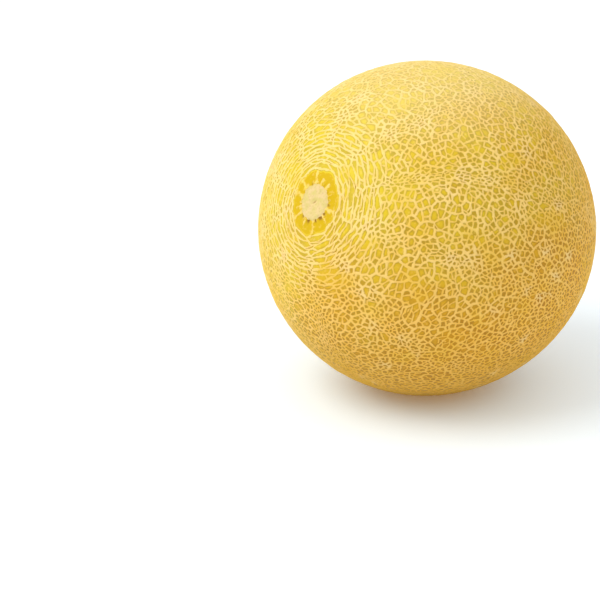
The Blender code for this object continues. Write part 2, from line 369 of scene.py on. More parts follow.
def pairs(ring):
    """The edges of a ring of corners, each as the corner it leaves and the one it reaches."""
    return zip(ring, ring[1:] + ring[:1])


def with_end_patches(chart, rings):
    """Adds the two round patches: the loops of edges that only one cell uses, stalk end first."""
    used = {edge for ring in rings for edge in pairs(ring)}
    following = {b: a for a, b in used if (b, a) not in used}
    loops = []
    while following:
        start = min(following)
        loop = [start]
        step = following.pop(start)
        while step != start:
            loop.append(step)
            step = following.pop(step)
        loops.append(loop)
    loops.sort(key=lambda loop: chart[loop[0]][1])
    return rings + loops


ends = edge_row(-reach_table[0] / 2, STALK_NEIGHBOURS)
ends += edge_row(climb_table[-1] + reach_table[-1] / 2, BLOSSOM_NEIGHBOURS)
chart, rings = net_cells(seeds, ends)
rings = with_end_patches(chart, rings)
print("corners:", len(chart), "patches:", [len(ring) for ring in rings[-2:]])

# %% [markdown]
# ## Cords and threads
#
# On the real rind thick, pale cords fence off small groups of cells, and thin yellow threads divide
# each group. Here a second, sparser set of seeds claims the two to four cells round each of its
# members. An edge between two groups is a cord and one inside a group is a thread. Where cork has
# healed over a vein the net closes up into a pale knot.

# %% Groups and knots
GROUP = 3.6 * MM  # least distance from one group of cells to the next
KNOTS_ON_A_VEIN = 9
KNOTS_FROM, KNOTS_TO = 0.32, 2.6  # radians from the stalk
KNOT_SCATTER = (0.02, 0.12)  # radians round the fruit and along a vein
KNOT_STRENGTH = (0.3, 0.9)
LOOSE_KNOTS = 60
KNOT_RADIUS = 3.3 * MM


def search_tree(places):
    """Finds the nearest of many places quickly, and its number."""
    tree = kdtree.KDTree(len(places))
    for number, place in enumerate(places):
        tree.insert(place, number)
    tree.balance()
    return tree


def group_of_each(seeds):
    draw = np.random.default_rng(19)
    ways = directions(*np.array(seeds).T) * equator_radius
    order = draw.permutation(len(seeds))
    found = []
    for index in order[: len(order) // 2]:
        if not found or min(np.linalg.norm(ways[found] - ways[index], axis=1)) > GROUP:
            found.append(index)
    tree = search_tree(ways[found])
    return [tree.find(way)[1] for way in ways], len(found)


def knot_tree():
    draw = np.random.default_rng(29)
    turns = np.repeat(VEIN_PHASE + np.arange(VEINS) * TAU / VEINS, KNOTS_ON_A_VEIN)
    polar = np.tile(np.linspace(KNOTS_FROM, KNOTS_TO, KNOTS_ON_A_VEIN), VEINS)
    turns = turns + draw.normal(0, KNOT_SCATTER[0], len(turns))
    polar = polar + draw.normal(0, KNOT_SCATTER[1], len(polar))
    ways = list(directions(turns, np.interp(polar, polar_table, climb_table)))
    ways += list(unit(draw.normal(size=(LOOSE_KNOTS, 3))))
    return search_tree(ways), draw.uniform(*KNOT_STRENGTH, len(ways))


knots, knot_strengths = knot_tree()


def knottiness(ways):
    """1 in the middle of a strong knot, 0 away from knots."""
    found = [knots.find(way) for way in ways]
    gaps = np.array([distance for _, _, distance in found]) * equator_radius
    strengths = knot_strengths[[number for _, number, _ in found]]
    return strengths * np.exp(-((gaps / KNOT_RADIUS) ** 2))


groups, group_count = group_of_each(seeds)
print("groups:", group_count, "knots:", len(knot_strengths))

# %% [markdown]
# ## Larger cells
#
# Here and there a thread never formed, which leaves a cell of double size. A few edges inside the
# groups are dropped, and the two rings beside each become one.

# %% Join a few cells
JOINED = 0.006  # share of the cells that swallow a neighbour


def joined(rings, groups):
    draw = np.random.default_rng(83)
    whose = {edge: number for number, ring in enumerate(rings[:-2]) for edge in pairs(ring)}
    stalk = near_stalk(directions(*np.array(chart).T)).tolist()
    edges = sorted(edge for edge in whose if edge[0] < edge[1] and stalk[edge[0]] < 0.1)
    rings = list(rings)
    taken = set()
    for index in draw.permutation(len(edges)):
        a, b = edges[index]
        one, other = whose[a, b], whose.get((b, a))
        if len(taken) > 2 * JOINED * len(groups):
            break
        if other is None or groups[one] != groups[other] or taken & {one, other}:
            continue
        taken |= {one, other}
        i, j = rings[one].index(b), rings[other].index(a)
        rest = rings[other][j:] + rings[other][:j]
        rings[one] = rings[one][i:] + rings[one][:i] + rest[1:-1]
        rings[other] = []
    kept = [number for number in range(len(groups)) if rings[number]]
    return [rings[number] for number in kept] + rings[-2:], [groups[number] for number in kept]


rings, groups = joined(rings, groups)
cell_count = len(groups)
print("cells left:", cell_count)

# %% [markdown]
# ## How heavy each edge is
#
# Every edge gets a weight, from 0 for the thinnest thread to 1 for a full cord. Near the stalk the
# edges that run round it are heavy, and those that cross from ring to ring are light unless they lie
# on a vein. The first ridge, round the bare ring, is the heaviest and is thickest on one side.

# %% Weights
CORDS = (0.3, 1)
THREADS = (0, 0.3)
STALK_EDGES = (0.1, 0.55)  # any edge near the stalk
ALONG_A_RING = 0.45  # what one that runs round the stalk gains
ON_A_VEIN = 0.7  # what one that crosses the rings on a vein gains
FIRST_RIDGE = 1.1
FIRST_RIDGE_SWELL = 0.3  # how much more or less it weighs at its thickest and thinnest
FIRST_RIDGE_THICKEST = math.radians(50)
HEAVIEST = 1.5


def edge_weights():
    draw = np.random.default_rng(53)
    ways = directions(*np.array(chart).T)
    sides = defaultdict(list)
    for number, ring in enumerate(rings):
        for a, b in pairs(ring):
            sides[edge_of(a, b)].append(number)
    found = []
    for one, other in sides.values():
        apart = max(one, other) >= cell_count or groups[one] != groups[other]
        found.append(draw.uniform(*(CORDS if apart else THREADS)))
    start = ways[[a for a, _ in sides]]
    run = ways[[b for _, b in sides]] - start
    middle = unit(start + run / 2)
    around = unit(np.cross((0, 0, 1), middle))
    concentric = np.abs(dots(unit(run), around))
    ringed = draw.uniform(*STALK_EDGES, len(found)) + ALONG_A_RING * concentric**2
    turn = np.arctan2(middle[:, 1], middle[:, 0])
    ringed += ON_A_VEIN * near_vein(turn, np.arccos(middle[:, 2])) ** 3 * (1 - concentric**2)
    first = [max(two_sides) == cell_count for two_sides in sides.values()]
    swell = FIRST_RIDGE_SWELL * np.cos(turn[first] - FIRST_RIDGE_THICKEST)
    ringed[first] = FIRST_RIDGE * (1 + swell)
    found = found + (ringed - found) * near_stalk(middle) + knottiness(middle)
    return dict(zip(sides, np.minimum(HEAVIEST, found).tolist()))


weights = edge_weights()
print("mean weight:", round(sum(weights.values()) / len(weights), 2))

# %% [markdown]
# ## Old cracks run straight
#
# The net is cork that healed over cracks. An old crack runs on smoothly, and a younger one stops
# where it meets it, so most crossings look like a T. The heavier edges count as the older ones. Each
# corner is pulled towards the line between its two heaviest neighbours, and is put back where that
# would fold a cell.

# %% Straighten
PULL = 0.45  # share of the way that a corner moves in each pull
PULLS = 2
UNFOLDINGS = 12  # how often the corners of folded cells go half of the way back
LEAST_OPENING = 0.12  # what every corner of a cell keeps of the mean one's share of its area


def ring_arrays(rings):
    """The corners of all rings in one row, with the cell and the neighbours of each."""
    counts = np.array([len(ring) for ring in rings])
    starts = np.concatenate([[0], np.cumsum(counts)[:-1]])
    after = np.arange(1, counts.sum() + 1)
    after[starts + counts - 1] = starts
    before = np.empty_like(after)
    before[after] = np.arange(len(after))
    return np.concatenate(rings), counts, starts, np.repeat(np.arange(len(rings)), counts), after, before


def nearest_turn(places, beside):
    """The places, moved by whole turns until they lie next to others."""
    turn = beside[:, 0] + (places[:, 0] - beside[:, 0] + math.pi) % TAU - math.pi
    return np.stack([turn, places[:, 1]], axis=1)


def folded_corners(places):
    """Corners of the cells that are not open to their own middle."""
    corners, counts, starts, owner, after, _ = ring_arrays(rings[:cell_count])
    corner = nearest_turn(places[corners], places[corners[starts]][owner])
    middle = (np.add.reduceat(corner, starts, axis=0) / counts[:, None])[owner]
    one, two = corner - middle, corner[after] - middle
    turned = one[:, 1] * two[:, 0] - one[:, 0] * two[:, 1]
    room = np.add.reduceat(turned, starts)[owner] / counts[owner]
    folded = np.logical_or.reduceat(turned < LEAST_OPENING * room, starts)
    return np.unique(corners[folded[owner]])


def straightened(chart):
    before = np.array(chart)
    beside = defaultdict(list)
    for (a, b), heavy in weights.items():
        beside[a].append((-heavy, b))
        beside[b].append((-heavy, a))
    kept = {corner for ring in rings[cell_count:] for corner in ring}
    moving = np.array([i for i in range(len(chart)) if i not in kept and len(beside[i]) > 1])
    heavy = np.array([[b for _, b in sorted(beside[i])[:2]] for i in moving])
    places = before.copy()
    pull = np.array([[PULL if len(beside[i]) > 2 else 2 * PULL] for i in moving])
    for _ in range(PULLS):
        one = nearest_turn(places[heavy[:, 0]], places[moving])
        two = nearest_turn(places[heavy[:, 1]], places[moving])
        run = two - one
        share = dots(places[moving] - one, run) / dots(run, run)
        goal = one + run * np.clip(share, 0.3, 0.7)[:, None]
        places[moving] += pull * (goal - places[moving])
    for _ in range(UNFOLDINGS):
        folded = folded_corners(places)
        places[folded] += 0.5 * (before[folded] - places[folded])
    print("corners moved:", len(moving), "still folded:", len(folded_corners(places)))
    return places


chart = straightened(chart)

# %% [markdown]
# ## Knots where corners nearly touch
#
# Two corners that lie closer than a cord is wide would make a sliver. Each such pair becomes one
# corner in the middle, where four ridges meet, which is what a knot in the net looks like.

# %% Merge close corners
CLOSE = 0.55 * MM


def lengths_between(one, other):
    """Distances on the fruit between two rows of points of the chart."""
    return np.linalg.norm(directions(*other.T) - directions(*one.T), axis=1) * equator_radius


def merged(chart, rings, weights):
    neighbours = defaultdict(list)
    for a, b in weights:
        neighbours[a].append(b)
        neighbours[b].append(a)
    edges = np.array(list(weights))
    reached = nearest_turn(chart[edges[:, 1]], chart[edges[:, 0]])
    lengths = lengths_between(chart[edges[:, 0]], reached)
    fixed = {corner for ring in rings[cell_count:] for corner in ring}
    fixed |= {corner for ring in rings[:cell_count] if len(ring) < 5 for corner in ring}
    places = chart.copy()
    goes_to = {}
    for index in np.argsort(lengths):
        a, b = edges[index].tolist()
        if lengths[index] > CLOSE:
            break
        if not fixed & {a, b}:
            fixed |= {a, b, *neighbours[a], *neighbours[b]}
            goes_to[b] = a
            places[a] = (chart[a] + reached[index]) / 2
    rings = [[goes_to.get(corner, corner) for corner in ring] for ring in rings]
    used, numbers = np.unique(np.concatenate(rings), return_inverse=True)
    new = dict(zip(np.concatenate(rings).tolist(), numbers.tolist()))
    rings = [[new[a] for a, b in pairs(ring) if a != b] for ring in rings]
    kept = {}
    for (a, b), heavy in weights.items():
        a, b = new[goes_to.get(a, a)], new[goes_to.get(b, b)]
        if a != b:
            kept[edge_of(a, b)] = heavy
    print("corners merged:", len(goes_to))
    return places[used], rings, kept


chart, rings, weights = merged(chart, rings, weights)

# %% [markdown]
# ## Bends and gaps
#
# The long edges near the stalk are split into short steps that sway a little, so that the slits have
# wavy sides. A few threads are broken: they taper to nothing halfway. The loops round the end
# patches are split finely, because the scar needs a fine mesh.

# %% Split the long edges
LONGEST_EDGE = 2.4 * MM
STALK_SPOKES = 160
BLOSSOM_SPOKES = 60
SWAY = 0.06  # how far a bend moves aside, as a share of its edge
BROKEN = 0.05  # share of the threads that have a gap
THIN_ENOUGH = 0.42  # weight under which an edge can be broken
GAP_BREADTH = 0.06
MEETING_BREADTH = (0.95, 1.4)  # how much broader cork is where edges meet


def bent_edges(chart):
    """Splits long and broken edges. Returns points, rings, an edge per corner and the breadths."""
    patch_steps = {}
    for ring, spokes, radius in (
        (rings[-2], STALK_SPOKES, RING_RADIUS),
        (rings[-1], BLOSSOM_SPOKES, BLOSSOM_RING_RADIUS),
    ):
        for a, b in pairs(ring):
            patch_steps[edge_of(a, b)] = TAU * radius / spokes
    edges = list(weights)
    start = chart[[a for a, _ in edges]]
    run = nearest_turn(chart[[b for _, b in edges]], start) - start
    lengths = lengths_between(start, start + run)
    draw = np.random.default_rng(37)
    sways = draw.uniform(-1, 1, (len(edges), 2)) * SWAY
    chances = draw.uniform(0, 1, len(edges))
    places = chart.tolist()
    breadths = draw.uniform(*MEETING_BREADTH, len(places)).tolist()
    between = {}
    columns = (values.tolist() for values in (start, run, lengths, sways, chances))
    for edge, (turn, climb), (right, up), length, sway, chance in zip(edges, *columns):
        broken = chance < BROKEN and weights[edge] < THIN_ENOUGH and edge not in patch_steps
        pieces = max(1 + broken, round(length / patch_steps.get(edge, LONGEST_EDGE)))
        between[edge] = []
        for i in range(1, pieces):
            share = i / pieces
            lean = math.sin(TAU * share) * sway[0] + math.sin(math.pi * share) * sway[1]
            between[edge].append(len(places))
            places.append((turn + right * share - up * lean, climb + up * share + right * lean))
            gap = broken and i == (pieces + 1) // 2
            breadths.append(GAP_BREADTH if gap else 0.9 + 0.2 * lean / SWAY)
    bent = []
    names = []
    for ring in rings:
        longer = []
        named = []
        for a, b in pairs(ring):
            edge = edge_of(a, b)
            inner = between[edge] if a < b else between[edge][::-1]
            longer += [a, *inner]
            named += [edge] * (1 + len(inner))
        bent.append(longer)
        names.append(named)
    return np.array(places), bent, names, np.array(breadths)


chart, rings, edge_names, breadths = bent_edges(chart)
ways = directions(*chart.T)
print("corners with bends:", len(chart))

# %% [markdown]
# ## Ridges
#
# A ridge is drawn cell by cell. Its crest runs along the edge, and the corners of a cell are moved in
# from the edges to give the foot of the ridge on the skin. Strips of faces join crest and foot. This
# follows every crack exactly with few faces, where a displaced grid would need millions. The weight
# of an edge sets how wide and how high its ridge is.

# %% Corners moved in
THREAD_HALF_WIDTH = 0.38 * MM
CORD_HALF_WIDTH = 0.68 * MM
THREAD_HEIGHT = 0.24 * MM
CORD_HEIGHT = 0.46 * MM
SLIMMER_AT_STALK = 0.1
MOST_CORK = 0.58  # share of the room in a cell that its cork may take

corners, counts, starts, owner, after, before = ring_arrays(rings)
weight = np.array([weights[edge] for named in edge_names for edge in named])


def middles_of(points):
    return np.add.reduceat(points, starts, axis=0) / counts[:, None]


def moved_in(points, distance, most):
    """The corners of every cell moved in from its edges, less far where a cell would turn over."""
    corner = points[corners]
    middle = middles_of(corner)[owner]
    outward = unit(middle)
    run = corner[after] - corner
    ahead = unit(run)
    inward = np.cross(outward, ahead)
    earlier = inward[before]

    def area(ring):
        spans = dots(np.cross(ring - middle, ring[after] - middle), outward)
        return np.add.reduceat(spans, starts) / 2

    room = 2 * area(corner) / np.add.reduceat(np.linalg.norm(run, axis=1), starts)
    distance = np.minimum(distance, most * room[owner])
    lean = np.clip(dots(inward, earlier), -0.4, 0.9)
    one = (distance[before] - lean * distance) / (1 - lean**2)
    two = (distance - lean * distance[before]) / (1 - lean**2)
    move = (earlier * one[:, None] + inward * two[:, None]) * breadths[corners][:, None]
    found = corner + (middle - corner) * 0.3
    left = []
    for part in (0.25, 0.5, 0.75, 1):
        moved = corner + part * move
        for _ in range(4):
            crossed = np.flatnonzero(dots(moved[after] - moved, ahead) < 0)
            met = (moved[crossed] + moved[after[crossed]]) / 2
            moved[crossed] = met
            moved[after[crossed]] = met
        along = dots(moved[after] - moved, ahead)
        bad = np.logical_or.reduceat(along < -1e-9, starts) | (area(moved) < 0.1 * area(corner))
        found = np.where(bad[owner][:, None], found, moved)
        left.append(int(bad.sum()))
    print("cells that would turn over at each part of the way:", left)
    return found


bare = ways * skin_radius(ways)[:, None]
half_width = THREAD_HALF_WIDTH + (CORD_HALF_WIDTH - THREAD_HALF_WIDTH) * weight
half_width *= 1 - SLIMMER_AT_STALK * near_stalk(ways)[corners]
foot = unit(moved_in(bare, half_width, MOST_CORK))

# %% [markdown]
# ## The collected mesh
#
# A small class gathers directions, heights and the few values that the material reads at each point: how
# much it is net, how pale that cork is, how open the skin is there, and the scars' masks, one of which
# also holds painted shade in streaks over the bare ring.

# %% Rind collector
MASKS = ("net", "pale", "open", "scar", "notch")


class Rind:
    def __init__(self):
        self.ways = []
        self.heights = []
        self.masks = {name: [] for name in MASKS}
        self.faces = []
        self.total = 0

    def add(self, ways, heights, **masks):
        first = self.total
        self.total += len(ways)
        self.ways.append(ways)
        self.heights.append(np.broadcast_to(heights, len(ways)))
        for name in MASKS:
            self.masks[name].append(np.broadcast_to(masks.get(name, 0.0), len(ways)))
        return np.arange(first, self.total)


rind = Rind()

# %% [markdown]
# ## Crests and feet
#
# A crest takes the mean weight of the edges that meet there, and cells share it. The feet belong to one
# cell each. Skin beside the cork of a roomy cell counts as a little open, so it gets less of the olive
# tint and painted shade that lie beside the cork.

# %% Crests, feet and slopes
def crest_weights():
    """Mean weight of the edges that meet at each point."""
    total = np.bincount(corners, weight, len(ways)) + np.bincount(corners, weight[before], len(ways))
    return total / (2 * np.bincount(corners, minlength=len(ways)))


crest_weight = crest_weights()
there = np.minimum(1, breadths)
crest_height = (THREAD_HEIGHT + (CORD_HEIGHT - THREAD_HEIGHT) * crest_weight) * there
pale = np.clip(crest_weight - 0.1, 0, 0.8) + 0.45 * knottiness(ways)
crests = rind.add(ways, crest_height, net=there, pale=pale)
foot_points = foot * equator_radius
roominess = np.linalg.norm(foot_points - middles_of(foot_points)[owner], axis=1)
cell_room = np.add.reduceat(roominess, starts) / counts
foot_open = np.clip((cell_room[owner] / MM - 0.5) / 3, 0, 0.3) + 0.08 * near_stalk(foot)
feet = rind.add(foot, 0.0, pale=pale[corners], open=foot_open)
crest = crests[corners]
rind.faces += np.stack([crest, crest[after], feet[after], feet], axis=1).tolist()
print("median room in a cell:", round(float(np.median(cell_room)) / MM, 2), "mm")

# %% [markdown]
# ## Floors
#
# The skin shows at the bottom of each cell. It is olive right beside the cork, partly its own tint and
# partly painted shade at the foot of the ridges, and golden where it is open, so a roomy cell gets a
# point in its middle, slightly domed, and the colour brightens towards it. A few roomy cells hold a wart
# of cork instead. A tight cell is one flat face.

# %% Skin in the cells
ROOMY = 1.08 * MM
DOME = 0.06
WARTS = 0.04  # share of the roomy cells that hold a wart
WART_HEIGHT = 0.22 * MM


def floors():
    draw = np.random.default_rng(43)
    middle_ways = unit(middles_of(foot))
    away = foot_points - middles_of(foot_points)[owner]
    turned = dots(np.cross(away, away[after]), unit(middles_of(foot_points)[owner]))
    open_all_round = np.logical_and.reduceat(turned > 0, starts)
    roomy = np.flatnonzero(((cell_room > ROOMY) & open_all_round)[:cell_count])
    warty = draw.uniform(0, 1, len(roomy)) < WARTS
    brightness = np.clip((cell_room[roomy] / MM - 0.5) / 0.9, 0.3, 1)
    heights = np.where(warty, WART_HEIGHT, DOME * cell_room[roomy])
    centres = rind.add(middle_ways[roomy], heights, net=0.3 * warty, pale=0.5, open=brightness)
    centre_of = dict(zip(roomy.tolist(), centres.tolist()))
    for number in range(cell_count):
        ring = feet[starts[number] : starts[number] + counts[number]].tolist()
        if number in centre_of:
            rind.faces += [[a, b, centre_of[number]] for a, b in pairs(ring)]
        else:
            rind.faces.append(ring)
    return len(roomy)


print("roomy cells:", floors(), "faces so far:", len(rind.faces))

# %% [markdown]
# ## Round patches at the ends
#
# Each end of the fruit is a disc that the net leaves open. Circles of points step inwards from the
# loop of the first ridge to one point in the middle, and a formula gives each circle its height.

# %% Circles for the patches
STALK_PATCH, BLOSSOM_PATCH = -2, -1  # their places in the list of rings


def patch_border(patch):
    """The points of the loop round a patch, their turns and their distance from its middle."""
    loop = slice(int(starts[patch]), int(starts[patch] + counts[patch]))
    turn = np.unwrap(np.arctan2(foot[loop, 1], foot[loop, 0]))
    return feet[loop], turn, np.arccos(np.abs(foot[loop, 2])) * half_length


def step_in(outer, turn, radius, pole, heights, **masks):
    """A circle of points inside the last one and joined to it. The pole is 1 or, at the blossom, -1."""
    tilt = radius / half_length
    spots = np.stack([np.sin(tilt) * np.cos(turn), np.sin(tilt) * np.sin(turn), pole * np.cos(tilt)], 1)
    inner = rind.add(spots, heights, **masks)
    rind.faces += np.stack([outer, np.roll(outer, -1), np.roll(inner, -1), inner], axis=1).tolist()
    return inner


def close_up(outer, pole, height, dark):
    middle = int(rind.add(np.array([(0.0, 0.0, pole)]), height, scar=1.0, notch=dark)[0])
    rind.faces += [[a, b, middle] for a, b in pairs(outer.tolist())]


# %% [markdown]
# ## The stalk's scar
#
# A ripe galia slips off its stalk and leaves a round, dull, corky scar. Its rim is toothed, and
# lighter rays of cork run out from it over the bare yellow ring, some of them right across. Between
# the teeth the skin tore as the stalk let go, which left dark notches, most of them underneath. Each
# mark is a bump in one formula, placed by its turn round the scar.

# %% Rim, rays and notches
SCAR_RADIUS = 7.4 * MM
SCAR_OVAL = 0.03
TEETH = 19
RAYS = (  # turn in degrees, half width in mm, share of the bare ring that it crosses
    (-8, 0.95, 1), (-37, 0.45, 1), (-76, 0.5, 1), (-104, 0.4, 0.5), (-132, 0.5, 1), (-152, 0.6, 0.55),
    (172, 0.95, 1), (145, 0.7, 1), (106, 0.45, 1), (84, 0.5, 0.5), (62, 0.5, 0.5), (33, 0.45, 0.4),
)
NOTCHES = (  # turn in degrees, half width in mm, depth
    (3, 0.9, 0.9), (-27, 0.85, 1), (-47, 0.9, 1), (-66, 0.75, 1), (-92, 0.8, 0.75), (-118, 0.7, 0.6),
    (-160, 0.5, 0.3), (160, 0.5, 0.4), (122, 0.6, 0.4), (96, 0.4, 0.3), (72, 0.4, 0.25),
    (45, 0.5, 0.4), (22, 0.4, 0.35),
)


def bumps(turn, radius, places, widths):
    """A bump for every mark on a circle, 1 in its middle."""
    gap = np.abs((turn[:, None] - np.radians(places) + math.pi) % TAU - math.pi) * radius / MM
    return np.exp(-((gap / widths) ** 2))


def ray_marks(turn, share, radius, rays):
    """Height of the rays, 0 to 1, on a circle: share is 0 at the scar and 1 at the first ridge."""
    places, widths, reaches = (np.array(column) for column in zip(*rays))
    flare = 1 + (0.9 * math.exp(-share / 0.16) + 0.8 * math.exp((share - 1) / 0.12)) * (reaches >= 1)
    there = smooth_step((reaches + 0.12 - share) / 0.2)
    return (bumps(turn, radius[:, None], places, widths * flare) * there).max(axis=1)


def notch_marks(turn):
    """Depth of the notches at the rim, 0 to 1."""
    places, widths, depths = (np.array(column) for column in zip(*NOTCHES))
    return (bumps(turn, SCAR_RADIUS, places, widths) * depths).max(axis=1)


def rim_radius(turn):
    lobes = 1 + 0.02 * np.sin(3 * turn + 1) + 0.02 * np.sin(8 * turn) + 0.025 * np.sin(TEETH * turn + 2)
    return SCAR_RADIUS * (1 - SCAR_OVAL * np.cos(2 * turn)) * lobes


def streaks_round(turn):
    """Fine uneven streaks that run out from the middle, 0 to 1."""
    streaks = 0.5 + 0.3 * np.sin(17 * turn + 2 * np.sin(5 * turn))
    return streaks + 0.2 * np.sin(41 * turn + 3 * np.sin(7 * turn))


# %% [markdown]
# ## The bare ring
#
# Circles step in over the yellow skin to the scar. Rays and teeth raise them, notches dent them, and
# streaks of painted shade darken them. The points of the first ridge are crowded in places, so they
# spread out evenly on the way.

# %% The bare yellow ring
BARE_STEPS = 14
RIM_GAP = 0.2 * MM  # between the last circle of the ring and the first of the scar
RAY_HEIGHT = 0.34 * MM
NOTCH_DEPTH = 0.3 * MM
NOTCH_REACH = 0.21  # share of the ring that a notch runs out
# streaks of painted shade over the bare ring
STREAK_SHADE = 0.28


def random_teeth():
    draw = np.random.default_rng(61)
    turns = (np.arange(TEETH) + draw.uniform(-0.3, 0.3, TEETH)) * 360 / TEETH
    return list(zip(turns, draw.uniform(0.4, 0.75, TEETH), draw.uniform(0.05, 0.28, TEETH)))


def bare_circles(outer, turn, even, edge_radius):
    teeth = random_teeth()
    torn, streaks, rim = notch_marks(turn), streaks_round(turn), rim_radius(turn)
    for i in range(1, BARE_STEPS + 1):
        share = 1 - i / BARE_STEPS
        radius = rim + RIM_GAP + (edge_radius - rim - RIM_GAP) * share
        ray = ray_marks(turn, share, radius, RAYS)
        tooth = ray_marks(turn, share, radius, teeth)
        hollow = math.exp(-((share / NOTCH_REACH) ** 2)) * torn * (1 - ray)
        heights = RAY_HEIGHT * np.maximum(ray, 0.7 * tooth) - NOTCH_DEPTH * hollow
        cork = np.maximum(0.85 * ray, 0.5 * tooth) * (1 - hollow)
        # Torn notches darken the rim, and streaks of painted shade run out over the ring between the
        # rays.
        dark = hollow + STREAK_SHADE * streaks * math.sqrt(1 - share) * (1 - ray)
        golden = 2 * smooth_step((1 - share) / 0.15)
        angle = turn * share**3 + even * (1 - share**3)
        masks = {"net": 0.5 * cork, "pale": 0.4, "open": golden, "notch": dark}
        outer = step_in(outer, angle, radius, 1, heights, **masks)
    return outer


# %% [markdown]
# ## The disc of the scar
#
# The disc is dished and a little worn, with a rounded edge. A short slit and a pit in the middle mark
# the core of the stalk.

# %% Scar disc
SCAR_CIRCLES = (1.0, 0.975, 0.93, 0.86, 0.77, 0.66, 0.54, 0.42, 0.30, 0.20, 0.12, 0.06)
RIM_HEIGHT = 0.32
DISH_DEPTH = 0.45
SLIT_DEPTH = 0.45
SLIT_AT = math.radians(45)
SLIT_LENGTH = 1.3 * MM
SLIT_WIDTH = 0.4 * MM
PIT_DEPTH = 0.8 * MM


def scar_disc(outer, turn, even):
    streaks, rim = streaks_round(turn), rim_radius(turn)
    for share in SCAR_CIRCLES:
        radius = rim * share
        rounded = 1 - smooth_step((share - 0.88) / 0.12)
        dish = (RIM_HEIGHT * rounded - DISH_DEPTH * (1 - share) ** 2) * MM
        wear = 0.06 * MM * np.sin(5 * turn + 9 * share) * share * (1 - share)
        spokes = 0.05 * (streaks - 0.5) * (1 - math.exp(-share / 0.3)) * MM
        along, across = radius * np.cos(turn - SLIT_AT), radius * np.sin(turn - SLIT_AT)
        slit = np.exp(-((along / SLIT_LENGTH) ** 2) - (across / SLIT_WIDTH) ** 2)
        heights = dish + wear + spokes - SLIT_DEPTH * slit * MM
        dark = 0.5 * slit + 0.1 * streaks * share
        outer = step_in(outer, even, radius, 1, heights, scar=1.0, notch=dark)
    close_up(outer, 1.0, -PIT_DEPTH, 0.5)


def stalk_patch():
    border, turn, edge_radius = patch_border(STALK_PATCH)
    even = turn[0] + np.sign(turn[-1] - turn[0]) * np.arange(len(turn)) * TAU / len(turn)
    even += (turn - even).mean()
    scar_disc(bare_circles(border, turn, even, edge_radius), turn, even)
    print("bare ring out to", round(float(edge_radius.mean()) / MM, 1), "mm")


stalk_patch()

# %% [markdown]
# ## The blossom's scar
#
# At the other end the flower dried up and left a small cork button with a dimple.

# %% Cork button
BUTTON_RADIUS = 2.3 * MM
DIMPLE_DEPTH = 0.25 * MM
BUTTON_CIRCLES = (  # share of the button's radius, height in mm
    (1.3, 0.0), (1.06, -0.08), (1.0, 0.1), (0.9, 0.3), (0.7, 0.32), (0.45, 0.16), (0.2, -0.1)
)


def blossom_patch():
    outer, turn, edge_radius = patch_border(BLOSSOM_PATCH)
    rim = BUTTON_RADIUS * (1 + 0.08 * np.sin(3 * turn) + 0.05 * np.sin(7 * turn + 2))
    for share, height in BUTTON_CIRCLES:
        radius = np.minimum(rim * share, edge_radius * 0.97)
        masks = {"scar": float(share <= 1), "open": float(share > 1), "notch": 0.5 * (share == 1.06)}
        outer = step_in(outer, turn, radius, -1, height * MM, **masks)
    close_up(outer, -1.0, -DIMPLE_DEPTH, 0.4)


blossom_patch()
print("points:", rind.total, "faces:", len(rind.faces))

# %% [markdown]
# ## Laying the fruit down
#
# The directions have the stalk at +Z. The fruit is turned so that the stalk end looks to the front
# and a little up, set on the floor, and worn flat where it rests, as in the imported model.

# %% Points in place
def laid_down(ways, radii):
    lift = math.sin(STALK_LIFT)
    level = math.cos(STALK_LIFT)
    turned = np.array([(1, 0, 0), (0, lift, level), (0, -level, lift)])
    points = (ways * radii[:, None]) @ turned
    skin = (ways * skin_radius(ways)[:, None]) @ turned
    box = points.min(axis=0), points.max(axis=0)
    middle = (box[0] + box[1]) / 2
    points += (fruit_middle.x - middle[0], fruit_middle.y - middle[1], 0)
    points[:, 2] -= skin[:, 2].min() + FLAT_DEPTH
    points[:, 2] = np.maximum(points[:, 2], low.z)
    return points


all_ways = np.concatenate(rind.ways)
all_heights = np.concatenate(rind.heights)
points = laid_down(all_ways, skin_radius(all_ways) + all_heights)
mesh = bpy.data.meshes.new("melon_rind")
mesh.from_pydata(points.tolist(), [], rind.faces)
for name in MASKS:
    layer = mesh.attributes.new(name, "FLOAT", "POINT")
    layer.data.foreach_set("value", np.concatenate(rind.masks[name]).astype(np.float32))
mesh.shade_smooth()
mesh.validate()


def numbers_of(items, name, each=1):
    """Whole numbers from every edge, corner or face of the mesh."""
    numbers = np.empty(each * len(items), np.int32)
    items.foreach_get(name, numbers)
    return numbers


def sharp_feet():
    """A crease wherever cork meets skin, so that the skin shades flat and the cord round."""
    ends = numbers_of(mesh.edges, "vertices", 2).reshape(-1, 2)
    is_foot = np.zeros(len(mesh.vertices), bool)
    is_foot[feet] = True
    crease = mesh.attributes.new("sharp_edge", "BOOLEAN", "EDGE")
    crease.data.foreach_set("value", is_foot[ends].all(axis=1))


sharp_feet()
mesh.update()
mesh.calc_loop_triangles()
melon = new_object("melon_rind", mesh)
print("triangles:", len(mesh.loop_triangles))

# %% [markdown]
# ## A map for baking
#
# A game or a viewer needs the colours as an image, and that needs a map of the surface. The fruit is
# seen as six faces of a cube from its middle, laid side by side, so nothing overlaps.

# %% Six cube faces
MAP_FILLED = 0.94  # of the side of each square, which leaves a margin


